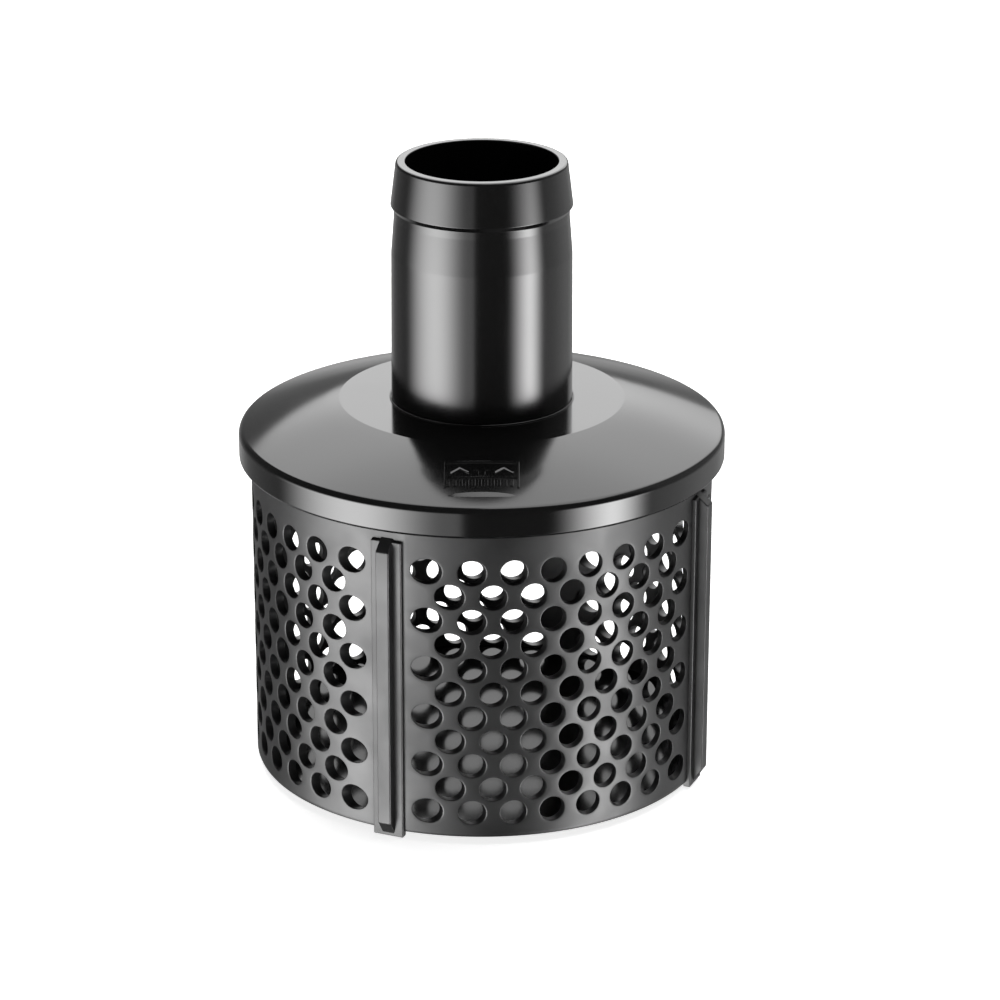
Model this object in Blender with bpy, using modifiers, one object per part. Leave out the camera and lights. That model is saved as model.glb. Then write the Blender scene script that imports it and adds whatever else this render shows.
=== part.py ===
"""A foot valve: a perforated strainer basket, a lift-off cover with a hose tail, and a spring-closed
lift valve under the cover. Metres, +Z up. The origin is at the middle of the four feet, on the
surface that they stand on, and every moving piece travels along the Z axis."""

import math

import bmesh
import bpy
from mathutils import Matrix, Vector

MM = 0.001
GAP = 0.3 * MM  # left between pieces that touch
AXIS_MERGE = 1e-5

# Strainer basket. Heights are counted from the feet.
FOOT_DROP = 1.5 * MM
BASKET_R = 64.5 * MM
BASKET_WALL = 2.5 * MM
BASKET_TOP = FOOT_DROP + 94.7 * MM
FLOOR_RECESS = 0.6 * MM
FLOOR_THICK = 2.5 * MM

# The wall is four equal panels between the ribs. Holes run parallel to their panel's middle.
PANELS = 4
PANEL_ANGLE = 2 * math.pi / PANELS
FIRST_RIB = math.radians(-23)
COLUMNS = 15
COLUMN_STEP = 5.3 * MM
ROWS = 11
ROW_STEP = 7.0 * MM
LOWEST_ROW = FOOT_DROP + 7.5 * MM
HOLE_R = 3.5 * MM

RIB_R = 68.2 * MM
RIB_WIDTH = 3.8 * MM
RIB_TOP = FOOT_DROP + 82.8 * MM
RIB_TOP_RISE = 3.9 * MM
RIB_CHAMFER = 3.4 * MM
RIB_CHAMFER_HEIGHT = 5.0 * MM
RIB_ROOT_R = BASKET_R - BASKET_WALL / 2
PAD_R = 65.4 * MM
PAD_WIDTH = 8.8 * MM
PAD_TOP = FOOT_DROP + 85.6 * MM
PAD_BOTTOM = 0.2 * MM
PAD_ROOT_R = RIB_ROOT_R - 0.3 * MM
FLOOR_R = RIB_ROOT_R - 0.6 * MM

# Cover: a flat land round the tail, a cone that falls to the rim, and a short skirt
SKIRT_R = 67.8 * MM
SKIRT_INNER_R = 65.3 * MM
SKIRT_BOTTOM = FOOT_DROP + 88.5 * MM
COVER_UNDERSIDE = BASKET_TOP + GAP
COVER_BORE_R = 22.9 * MM
LAND_R = 39.8 * MM
LAND_TOP = FOOT_DROP + 105.1 * MM
CONE_ANGLE = 16.5  # degrees from flat
RIM_FILLET = 3.0 * MM
RIM_FILLET_MIDDLE = FOOT_DROP + 94.6 * MM
HOLLOW_OUTER_R = 61.5 * MM
HOLLOW_INNER_R = 38.5 * MM
HOLLOW_TOP = FOOT_DROP + 102.2 * MM
SEAT_RING_R = 36.0 * MM
CHAMBER_R = 27.0 * MM
SEAT_RING_BOTTOM = COVER_UNDERSIDE - 7.3 * MM

# Hose tail, for a hose of 50 mm bore
TAIL_R = 25.15 * MM
TAIL_WAIST_R = 24.9 * MM
TAIL_WAIST = FOOT_DROP + 147.0 * MM
GROOVE_R = 24.1 * MM
GROOVE_BOTTOM = FOOT_DROP + 157.3 * MM
BARB_R = 25.0 * MM
BARB_EDGE = FOOT_DROP + 160.7 * MM
MOUTH_R = 23.5 * MM
MOUTH_BORE_R = 20.9 * MM
MOUTH_CHAMFER = 0.4 * MM
TAIL_TOP = FOOT_DROP + 172.8 * MM
TAIL_SHOULDER = LAND_TOP + GAP
SPIGOT_R = COVER_BORE_R - GAP
SPIGOT_BORE_R = 20.0 * MM
SPIGOT_BOTTOM = COVER_UNDERSIDE + GAP
O_RING_CORD_R = 0.65 * MM
O_RING_R = 22.1 * MM
O_RING_GROOVE_R = O_RING_R - O_RING_CORD_R - GAP
O_RING_HEIGHT = FOOT_DROP + 100.5 * MM
O_RING_GROOVE_HALF = O_RING_CORD_R + GAP

# Valve seat, screwed up against the cover's ring through a gasket
GASKET_TOP = SEAT_RING_BOTTOM - GAP
GASKET_BOTTOM = GASKET_TOP - 0.9 * MM
FLANGE_R = 35.5 * MM
FLANGE_TOP = GASKET_BOTTOM - GAP
FLANGE_BOTTOM = FLANGE_TOP - 2.8 * MM
SEAT_CUP_R = 29.2 * MM
SEAT_BOTTOM = FLANGE_TOP - 10.5 * MM
SEAT_FLOOR = SEAT_BOTTOM + 2.5 * MM
SEAT_BORE_R = 18.5 * MM
SEAT_LIP_R = 20.3 * MM
SEAT_LIP = SEAT_FLOOR + 1.0 * MM
ARM_WIDTH = 3.0 * MM
ARM_DEPTH = 4.5 * MM
ARM_REACH = 24.0 * MM
HUB_R = 5.8 * MM
HUB_BORE_R = 4.3 * MM
HUB_FOOT_R = 7.8 * MM
HUB_FOOT_HEIGHT = 1.5 * MM
HUB_TOP = SEAT_BOTTOM - 0.5 * MM
HUB_BOTTOM = HUB_TOP - 6.5 * MM
ARM_TOP = SEAT_BOTTOM + 0.5 * MM

SCREWS = 4
SCREW_CIRCLE_R = 32.7 * MM
SCREW_SHANK_R = 1.6 * MM
SCREW_HOLE_R = 1.95 * MM
SCREW_HEAD_R = 3.0 * MM
SCREW_HEAD_HEIGHT = 2.4 * MM
SCREW_HOLE_TOP = COVER_UNDERSIDE - 1.0 * MM
SCREW_TIP = SCREW_HOLE_TOP - 0.5 * MM
SCREW_SLOT_WIDTH = 1.0 * MM
SCREW_SLOT_DEPTH = 1.0 * MM

# Moving valve, closed
STEM_R = 2.8 * MM
BUSH_R = HUB_BORE_R - GAP
BUSH_BORE_R = STEM_R + 0.2 * MM
STEM_HOLE_R = STEM_R + GAP
SEAL_R = 22.0 * MM
SEAL_HOLE_R = 14.6 * MM
SEAL_BOTTOM = SEAT_LIP + GAP
SEAL_TOP = SEAL_BOTTOM + 1.7 * MM
DISC_BOTTOM = SEAL_TOP + GAP
DISC_TOP = DISC_BOTTOM + 3.0 * MM
DISC_CHAMFER = 1.5 * MM
DISC_SPIGOT_R = SEAL_HOLE_R - 0.4 * MM
CLAMP_R = 17.6 * MM
CLAMP_TOP = SEAL_BOTTOM - GAP
CLAMP_BOTTOM = CLAMP_TOP - 1.7 * MM
STEM_SHOULDER_R = 4.6 * MM
STEM_SHOULDER_TOP = CLAMP_BOTTOM - GAP
STEM_SHOULDER_HEIGHT = 1.5 * MM
WASHER_R = 6.0 * MM
WASHER_BOTTOM = DISC_TOP + GAP
WASHER_TOP = WASHER_BOTTOM + 0.8 * MM
NUT_CORNER_R = 5.2 * MM
NUT_BOTTOM = WASHER_TOP + GAP
NUT_TOP = NUT_BOTTOM + 3.1 * MM
STEM_TOP = NUT_TOP + 1.0 * MM
STEM_CHAMFER = 0.4 * MM

# Conical return spring between the hub and the retainer at the stem's foot
SPRING_WIRE_R = 0.45 * MM
SPRING_TOP = HUB_BOTTOM - GAP
SPRING_BOTTOM = SPRING_TOP - 8.0 * MM
SPRING_TOP_R = 7.0 * MM
SPRING_BOTTOM_R = 3.9 * MM
SPRING_TURNS = 3.5
SPRING_POINTS_PER_TURN = 12
RETAINER_R = 5.6 * MM
RETAINER_TOP = SPRING_BOTTOM - GAP
RETAINER_BOTTOM = RETAINER_TOP - 0.8 * MM
CLIP_R = 5.0 * MM
CLIP_BORE_R = 2.4 * MM
CLIP_TOP = RETAINER_BOTTOM - GAP
CLIP_BOTTOM = CLIP_TOP - 0.8 * MM
CLIP_MOUTH = math.radians(80)
CLIP_GROOVE_R = 2.1 * MM
CLIP_GROOVE_PLAY = 0.1 * MM
STEM_BOTTOM = CLIP_BOTTOM - 0.6 * MM

LARGE_SEGMENTS = 44
TAIL_SEGMENTS = 36
SMALL_SEGMENTS = 24
FINE_SEGMENTS = 16


def clear_scene():
    for obj in list(bpy.data.objects):
        bpy.data.objects.remove(obj)


def new_collection(name, hidden=False):
    collection = bpy.data.collections.new(name)
    collection.hide_render = hidden
    bpy.context.scene.collection.children.link(collection)
    return collection


def new_material(name, colour, roughness, metallic=0.0):
    material = bpy.data.materials.new(name)
    material.use_nodes = True
    shader = material.node_tree.nodes["Principled BSDF"]
    shader.inputs["Base Color"].default_value = (*colour, 1.0)
    shader.inputs["Roughness"].default_value = roughness
    shader.inputs["Metallic"].default_value = metallic
    return material


def add_object(name, mesh, material, collection):
    obj = bpy.data.objects.new(name, mesh)
    if material:
        mesh.materials.append(material)
    collection.objects.link(obj)
    return obj


def as_cutter(obj):
    """Marks a helper that only cuts or joins, so that it is never part of the model."""
    obj.hide_render = True
    obj.display_type = "WIRE"
    return obj


def turned(name, profile, material, collection, segments, closed=True):
    """A profile of (radius, height) points turned about Z: a ring if closed, else a solid on the axis."""
    count = len(profile)
    edges = [(i, i + 1) for i in range(count - 1)]
    if closed:
        edges.append((count - 1, 0))
    mesh = bpy.data.meshes.new(name)
    mesh.from_pydata([(radius, 0.0, height) for radius, height in profile], edges, [])
    obj = add_object(name, mesh, material, collection)
    screw = obj.modifiers.new("Turn", "SCREW")
    screw.steps = screw.render_steps = segments
    screw.use_merge_vertices = True
    screw.merge_threshold = AXIS_MERGE
    return obj


def tube_ring(inner_r, outer_r, bottom, top):
    """The closed profile of a plain ring."""
    return [(inner_r, top), (outer_r, top), (outer_r, bottom), (inner_r, bottom)]


def mesh_of_curve(curve_obj, name, material, collection):
    """The curve's solid as a mesh object with its caps welded, in the curve's place."""
    bpy.context.view_layer.update()
    graph = bpy.context.evaluated_depsgraph_get()
    mesh = bpy.data.meshes.new_from_object(curve_obj.evaluated_get(graph))
    mesh.name = name
    shape = bmesh.new()
    shape.from_mesh(mesh)
    bmesh.ops.remove_doubles(shape, verts=shape.verts, dist=AXIS_MERGE)
    bmesh.ops.recalc_face_normals(shape, faces=shape.faces)
    shape.to_mesh(mesh)
    shape.free()
    obj = add_object(name, mesh, material, collection)
    obj.matrix_world = curve_obj.matrix_world
    bpy.data.objects.remove(curve_obj)
    return obj


def plate(name, outlines, thickness, material, collection, place=Matrix()):
    """Flat outlines of (x, y) points, the first outside and the rest holes, as a plate from z = 0 up."""
    curve = bpy.data.curves.new(name, "CURVE")
    curve.dimensions = "2D"
    curve.fill_mode = "BOTH"
    curve.extrude = thickness / 2
    for outline in outlines:
        spline = curve.splines.new("POLY")
        spline.points.add(len(outline) - 1)
        for point, (x, y) in zip(spline.points, outline):
            point.co = (x, y, 0.0, 1.0)
        spline.use_cyclic_u = True
    curve_obj = bpy.data.objects.new(name + "_outline", curve)
    curve_obj.matrix_world = place @ Matrix.Translation((0.0, 0.0, thickness / 2))
    collection.objects.link(curve_obj)
    return mesh_of_curve(curve_obj, name, material, collection)


def circle(radius, segments, centre=(0.0, 0.0)):
    return [
        (
            centre[0] + radius * math.cos(2 * math.pi * i / segments),
            centre[1] + radius * math.sin(2 * math.pi * i / segments),
        )
        for i in range(segments)
    ]


def arc(centre, radius, start, end, steps):
    """Points on an arc of (radius, height), angles in degrees from the outward direction."""
    angles = [math.radians(start + (end - start) * i / steps) for i in range(steps + 1)]
    return [(centre[0] + radius * math.cos(a), centre[1] + radius * math.sin(a)) for a in angles]


def boolean(obj, other, operation):
    modifier = obj.modifiers.new(operation.title() + " " + other.name, "BOOLEAN")
    modifier.operation = operation
    modifier.solver = "EXACT"
    modifier.object = as_cutter(other)


def around(count, radius, start=0.0):
    """(x, y, angle) of points spaced evenly on a circle, the angle counted from -Y towards +X."""
    for i in range(count):
        angle = start + 2 * math.pi * i / count
        yield radius * math.sin(angle), -radius * math.cos(angle), angle


def block(name, low, high, angle, collection):
    """A box from low to high as (outward, sideways, up), turned so that outward points to the angle."""
    mesh = bpy.data.meshes.new(name)
    shape = bmesh.new()
    bmesh.ops.create_cube(shape, size=1.0)
    size = Vector(high) - Vector(low)
    middle = (Vector(high) + Vector(low)) / 2
    bmesh.ops.scale(shape, vec=size, verts=shape.verts)
    bmesh.ops.translate(shape, vec=middle, verts=shape.verts)
    shape.to_mesh(mesh)
    shape.free()
    obj = add_object(name, mesh, None, collection)
    obj.matrix_world = Matrix.Rotation(angle - math.pi / 2, 4, "Z")
    return obj


# The basket's wall is a sheet of flat strips between vertical lines: one line down the middle of
# each column of holes, and one at each rib.
LINES_PER_PANEL = COLUMNS + 1
LINES = PANELS * LINES_PER_PANEL
HEX_R = HOLE_R * math.sqrt(2 * math.pi / (3 * math.sqrt(3)))  # a hexagon of the round hole's area
HEX_HALF_WIDTH = HEX_R * math.cos(math.pi / 6)


def line_offset(line, radius):
    """How far a line lies sideways from its panel's middle."""
    column = line % LINES_PER_PANEL
    if column == 0:
        return -radius * math.sin(PANEL_ANGLE / 2)
    return (column - LINES_PER_PANEL / 2) * COLUMN_STEP


def line_point(line, radius, height):
    middle = FIRST_RIB + (line // LINES_PER_PANEL + 0.5) * PANEL_ANGLE
    angle = middle + math.asin(line_offset(line, radius) / radius)
    return Vector((radius * math.sin(angle), -radius * math.cos(angle), height))


def wall_point(place, radius, height):
    """A point of the wall, place being a line number with a fraction towards the next line."""
    line = math.floor(place)
    first = line_point(line % LINES, radius, height)
    second = line_point((line + 1) % LINES, radius, height)
    return first.lerp(second, place - line)


def hole_heights(line):
    column = line % LINES_PER_PANEL
    if column == 0:
        return []
    return [LOWEST_ROW + row * ROW_STEP for row in range((column + 1) % 2, ROWS, 2)]


def strip_side(line, towards):
    """The (place, height) outline of a strip's side, bottom to top, round the halves of its holes."""
    neighbour = line_offset(line + towards, BASKET_R) if (line + towards) % LINES_PER_PANEL else (
        towards * BASKET_R * math.sin(PANEL_ANGLE / 2)
    )
    reach = towards * HEX_HALF_WIDTH / abs(neighbour - line_offset(line, BASKET_R))
    yield line, FOOT_DROP
    for height in hole_heights(line):
        yield line, height - HEX_R
        yield line + reach, height - HEX_R / 2
        yield line + reach, height + HEX_R / 2
        yield line, height + HEX_R
    yield line, BASKET_TOP


def perforated_wall(name, material, collection):
    shape = bmesh.new()
    place_layer = shape.verts.layers.float.new("place")
    corners = {}

    def corner(place, height):
        key = (round(place % LINES, 4), round(height, 6))
        if key not in corners:
            corners[key] = shape.verts.new(wall_point(place % LINES, BASKET_R, height))
            corners[key][place_layer] = place % LINES
        return corners[key]

    for line in range(LINES):
        outline = list(strip_side(line, 1)) + list(strip_side(line + 1, -1))[::-1]
        shape.faces.new([corner(place, height) for place, height in outline])
    made = bmesh.ops.extrude_face_region(shape, geom=shape.faces[:], use_keep_orig=True)["geom"]
    for vert in (item for item in made if isinstance(item, bmesh.types.BMVert)):
        vert.co = wall_point(vert[place_layer], BASKET_R - BASKET_WALL, vert.co.z)
    bmesh.ops.recalc_face_normals(shape, faces=shape.faces)
    shape.verts.layers.float.remove(place_layer)
    mesh = bpy.data.meshes.new(name)
    shape.to_mesh(mesh)
    shape.free()
    return add_object(name, mesh, material, collection)


def make_rib(number, angle, helpers):
    """A rib's side outline, lying in (outward, up), made as wide as the rib."""
    outline = [
        (RIB_ROOT_R, 0.0),
        (RIB_R - RIB_CHAMFER, 0.0),
        (RIB_R, RIB_CHAMFER_HEIGHT),
        (RIB_R, RIB_TOP),
        (RIB_ROOT_R, RIB_TOP + RIB_TOP_RISE),
    ]
    upright = Matrix.Rotation(angle - math.pi / 2, 4, "Z") @ Matrix.Rotation(math.pi / 2, 4, "X")
    place = upright @ Matrix.Translation((0.0, 0.0, -RIB_WIDTH / 2))
    return plate(f"rib_{number}", [outline], RIB_WIDTH, None, helpers, place)


def make_basket(material, collection, helpers):
    basket = perforated_wall("strainer_basket", material, collection)
    floor_bottom = FOOT_DROP + FLOOR_RECESS
    floor_profile = [
        (0.0, floor_bottom + FLOOR_THICK),
        (FLOOR_R, floor_bottom + FLOOR_THICK),
        (FLOOR_R, floor_bottom),
        (0.0, floor_bottom),
    ]
    floor = turned("basket_floor", floor_profile, None, helpers, LARGE_SEGMENTS, closed=False)
    boolean(basket, floor, "UNION")
    for number in range(PANELS):
        angle = FIRST_RIB + number * PANEL_ANGLE
        pad_low = (PAD_ROOT_R, -PAD_WIDTH / 2, PAD_BOTTOM)
        pad_high = (PAD_R, PAD_WIDTH / 2, PAD_TOP)
        boolean(basket, block(f"rib_pad_{number}", pad_low, pad_high, angle, helpers), "UNION")
        boolean(basket, make_rib(number, angle, helpers), "UNION")
    return basket


def make_cover(material, collection, helpers):
    rim = (SKIRT_R - RIM_FILLET, RIM_FILLET_MIDDLE)
    profile = [
        (COVER_BORE_R, LAND_TOP),
        (LAND_R, LAND_TOP),
        *arc(rim, RIM_FILLET, 90 - CONE_ANGLE, 0, 4),
        (SKIRT_R, SKIRT_BOTTOM),
        (SKIRT_INNER_R, SKIRT_BOTTOM),
        (SKIRT_INNER_R, COVER_UNDERSIDE),
        (HOLLOW_OUTER_R, COVER_UNDERSIDE),
        (HOLLOW_INNER_R, HOLLOW_TOP),
        (SEAT_RING_R, HOLLOW_TOP),
        (SEAT_RING_R, SEAT_RING_BOTTOM),
        (CHAMBER_R, SEAT_RING_BOTTOM),
        (CHAMBER_R, COVER_UNDERSIDE),
        (COVER_BORE_R, COVER_UNDERSIDE),
    ]
    cover = turned("cover", profile, material, collection, LARGE_SEGMENTS)
    for number, (x, y, _) in enumerate(around(SCREWS, SCREW_CIRCLE_R, PANEL_ANGLE / 2)):
        hole = plate(
            f"cover_screw_hole_{number}",
            [circle(SCREW_HOLE_R, FINE_SEGMENTS, (x, y))],
            SCREW_HOLE_TOP - SEAT_RING_BOTTOM + GAP,
            None,
            helpers,
            Matrix.Translation((0.0, 0.0, SEAT_RING_BOTTOM - GAP)),
        )
        boolean(cover, hole, "DIFFERENCE")
    return cover


def make_tail(material, collection):
    profile = [
        (MOUTH_BORE_R, TAIL_TOP),
        (MOUTH_R - MOUTH_CHAMFER, TAIL_TOP),
        (MOUTH_R, TAIL_TOP - MOUTH_CHAMFER),
        (BARB_R, BARB_EDGE),
        (GROOVE_R, BARB_EDGE - (BARB_R - GROOVE_R)),
        (GROOVE_R, GROOVE_BOTTOM),
        (TAIL_WAIST_R, TAIL_WAIST),
        (TAIL_R, TAIL_SHOULDER),
        (SPIGOT_R, TAIL_SHOULDER),
        (SPIGOT_R, O_RING_HEIGHT + O_RING_GROOVE_HALF),
        (O_RING_GROOVE_R, O_RING_HEIGHT + O_RING_GROOVE_HALF),
        (O_RING_GROOVE_R, O_RING_HEIGHT - O_RING_GROOVE_HALF),
        (SPIGOT_R, O_RING_HEIGHT - O_RING_GROOVE_HALF),
        (SPIGOT_R, SPIGOT_BOTTOM),
        (SPIGOT_BORE_R, SPIGOT_BOTTOM),
    ]
    return turned("hose_tail", profile, material, collection, TAIL_SEGMENTS)


def make_o_ring(material, collection):
    bpy.ops.mesh.primitive_torus_add(
        major_radius=O_RING_R,
        minor_radius=O_RING_CORD_R,
        major_segments=TAIL_SEGMENTS,
        minor_segments=6,
        location=(0.0, 0.0, O_RING_HEIGHT),
    )
    ring = bpy.context.object
    ring.name = ring.data.name = "tail_o_ring"
    ring.data.materials.append(material)
    for owner in list(ring.users_collection):
        owner.objects.unlink(ring)
    collection.objects.link(ring)
    return ring


def make_gasket(material, collection):
    holes = [
        circle(SCREW_HOLE_R, FINE_SEGMENTS, (x, y))
        for x, y, _ in around(SCREWS, SCREW_CIRCLE_R, PANEL_ANGLE / 2)
    ]
    outlines = [circle(FLANGE_R, LARGE_SEGMENTS), circle(CHAMBER_R + GAP, LARGE_SEGMENTS), *holes]
    thickness = GASKET_TOP - GASKET_BOTTOM
    place = Matrix.Translation((0.0, 0.0, GASKET_BOTTOM))
    return plate("seat_gasket", outlines, thickness, material, collection, place)


def make_seat(material, collection, helpers):
    profile = [
        (CHAMBER_R, FLANGE_TOP),
        (FLANGE_R, FLANGE_TOP),
        (FLANGE_R, FLANGE_BOTTOM),
        (SEAT_CUP_R, FLANGE_BOTTOM),
        (SEAT_CUP_R, SEAT_BOTTOM),
        (SEAT_BORE_R, SEAT_BOTTOM),
        (SEAT_BORE_R, SEAT_LIP),
        (SEAT_LIP_R, SEAT_LIP),
        (SEAT_LIP_R, SEAT_FLOOR),
        (CHAMBER_R, SEAT_FLOOR),
    ]
    seat = turned("valve_seat", profile, material, collection, LARGE_SEGMENTS)
    hub_profile = [
        (HUB_BORE_R, HUB_TOP),
        (HUB_R, HUB_TOP),
        (HUB_R, HUB_BOTTOM + HUB_FOOT_HEIGHT),
        (HUB_FOOT_R, HUB_BOTTOM + HUB_FOOT_HEIGHT),
        (HUB_FOOT_R, HUB_BOTTOM),
        (HUB_BORE_R, HUB_BOTTOM),
    ]
    hub = turned("seat_hub", hub_profile, None, helpers, SMALL_SEGMENTS)
    for number, (_, _, angle) in enumerate(around(PANELS, ARM_REACH)):
        arm_low = ((HUB_R + HUB_BORE_R) / 2, -ARM_WIDTH / 2, ARM_TOP - ARM_DEPTH)
        arm_high = (ARM_REACH, ARM_WIDTH / 2, ARM_TOP)
        boolean(seat, block(f"seat_arm_{number}", arm_low, arm_high, angle, helpers), "UNION")
    boolean(seat, hub, "UNION")
    for number, (x, y, _) in enumerate(around(SCREWS, SCREW_CIRCLE_R, PANEL_ANGLE / 2)):
        hole = plate(
            f"seat_screw_hole_{number}",
            [circle(SCREW_HOLE_R, FINE_SEGMENTS, (x, y))],
            FLANGE_TOP - FLANGE_BOTTOM + 2 * GAP,
            None,
            helpers,
            Matrix.Translation((0.0, 0.0, FLANGE_BOTTOM - GAP)),
        )
        boolean(seat, hole, "DIFFERENCE")
    return seat


def make_screws(material, collection, helpers):
    head_top = FLANGE_BOTTOM - GAP
    head_bottom = head_top - SCREW_HEAD_HEIGHT
    profile = [
        (0.0, SCREW_TIP),
        (SCREW_SHANK_R, SCREW_TIP - SCREW_SHANK_R / 2),
        (SCREW_SHANK_R, head_top),
        (SCREW_HEAD_R, head_top),
        (SCREW_HEAD_R, head_bottom + SCREW_SLOT_DEPTH),
        (SCREW_HEAD_R - SCREW_SLOT_DEPTH, head_bottom),
        (0.0, head_bottom),
    ]
    slot_low = (-SCREW_HEAD_R - GAP, -SCREW_SLOT_WIDTH / 2, head_bottom - GAP)
    slot_high = (SCREW_HEAD_R + GAP, SCREW_SLOT_WIDTH / 2, head_bottom + SCREW_SLOT_DEPTH)
    screws = []
    for number, (x, y, angle) in enumerate(around(SCREWS, SCREW_CIRCLE_R, PANEL_ANGLE / 2), 1):
        name = f"seat_screw_{number}"
        screw = turned(name, profile, material, collection, FINE_SEGMENTS, closed=False)
        screw.location = (x, y, 0.0)
        slot = block(f"{name}_slot", slot_low, slot_high, angle, helpers)
        slot.location = (x, y, 0.0)
        boolean(screw, slot, "DIFFERENCE")
        screws.append(screw)
    return screws


def make_disc(material, collection):
    profile = [
        (STEM_HOLE_R, DISC_TOP),
        (SEAL_R - DISC_CHAMFER, DISC_TOP),
        (SEAL_R, DISC_TOP - DISC_CHAMFER),
        (SEAL_R, DISC_BOTTOM),
        (DISC_SPIGOT_R, DISC_BOTTOM),
        (DISC_SPIGOT_R, SEAL_BOTTOM),
        (STEM_HOLE_R, SEAL_BOTTOM),
    ]
    return turned("valve_disc", profile, material, collection, TAIL_SEGMENTS)


def make_stem(material, collection):
    profile = [
        (0.0, STEM_TOP),
        (STEM_R - STEM_CHAMFER, STEM_TOP),
        (STEM_R, STEM_TOP - STEM_CHAMFER),
        (STEM_R, STEM_SHOULDER_TOP),
        (STEM_SHOULDER_R, STEM_SHOULDER_TOP),
        (STEM_SHOULDER_R, STEM_SHOULDER_TOP - STEM_SHOULDER_HEIGHT),
        (STEM_R, STEM_SHOULDER_TOP - STEM_SHOULDER_HEIGHT),
        (STEM_R, CLIP_TOP + CLIP_GROOVE_PLAY),
        (CLIP_GROOVE_R, CLIP_TOP + CLIP_GROOVE_PLAY),
        (CLIP_GROOVE_R, CLIP_BOTTOM - CLIP_GROOVE_PLAY),
        (STEM_R, CLIP_BOTTOM - CLIP_GROOVE_PLAY),
        (STEM_R, STEM_BOTTOM),
        (0.0, STEM_BOTTOM),
    ]
    return turned("valve_stem", profile, material, collection, SMALL_SEGMENTS, closed=False)


def make_nut(material, collection):
    outlines = [circle(NUT_CORNER_R, 6), circle(STEM_HOLE_R, SMALL_SEGMENTS)]
    place = Matrix.Translation((0.0, 0.0, NUT_BOTTOM))
    return plate("stem_nut", outlines, NUT_TOP - NUT_BOTTOM, material, collection, place)


def make_clip(material, collection):
    """An open ring that snaps into the stem's groove."""
    sweep = 2 * math.pi - CLIP_MOUTH
    angles = [CLIP_MOUTH / 2 + sweep * i / FINE_SEGMENTS for i in range(FINE_SEGMENTS + 1)]
    outside = [(CLIP_R * math.cos(a), CLIP_R * math.sin(a)) for a in angles]
    inside = [(CLIP_BORE_R * math.cos(a), CLIP_BORE_R * math.sin(a)) for a in reversed(angles)]
    place = Matrix.Translation((0.0, 0.0, CLIP_BOTTOM))
    thickness = CLIP_TOP - CLIP_BOTTOM
    return plate("retaining_clip", [outside + inside], thickness, material, collection, place)


def make_spring(material, collection):
    curve = bpy.data.curves.new("return_spring_path", "CURVE")
    curve.dimensions = "3D"
    curve.bevel_depth = SPRING_WIRE_R
    curve.bevel_resolution = 2
    curve.use_fill_caps = True
    steps = round(SPRING_TURNS * SPRING_POINTS_PER_TURN)
    spline = curve.splines.new("POLY")
    spline.points.add(steps)
    low, high = SPRING_BOTTOM + SPRING_WIRE_R, SPRING_TOP - SPRING_WIRE_R
    for i, point in enumerate(spline.points):
        part = i / steps
        radius = SPRING_BOTTOM_R + (SPRING_TOP_R - SPRING_BOTTOM_R) * part
        angle = 2 * math.pi * SPRING_TURNS * part
        height = low + (high - low) * part
        point.co = (radius * math.cos(angle), radius * math.sin(angle), height, 1.0)
    path = bpy.data.objects.new("return_spring_path", curve)
    collection.objects.link(path)
    return mesh_of_curve(path, "return_spring", material, collection)


def shade(obj):
    """Applies the object's modifiers, and shades its round faces smooth and its edges sharp."""
    bpy.context.view_layer.update()
    graph = bpy.context.evaluated_depsgraph_get()
    mesh = bpy.data.meshes.new_from_object(obj.evaluated_get(graph))
    mesh.name = obj.name
    obj.modifiers.clear()
    obj.data = mesh
    mesh.shade_smooth()
    mesh.set_sharp_from_angle(angle=math.radians(35))


def group_under(name, pieces, collection):
    """An empty on the joint's axis that carries the pieces of one moving body."""
    empty = bpy.data.objects.new(name, None)
    collection.objects.link(empty)
    for piece in pieces:
        piece.parent = empty
    return empty


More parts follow.
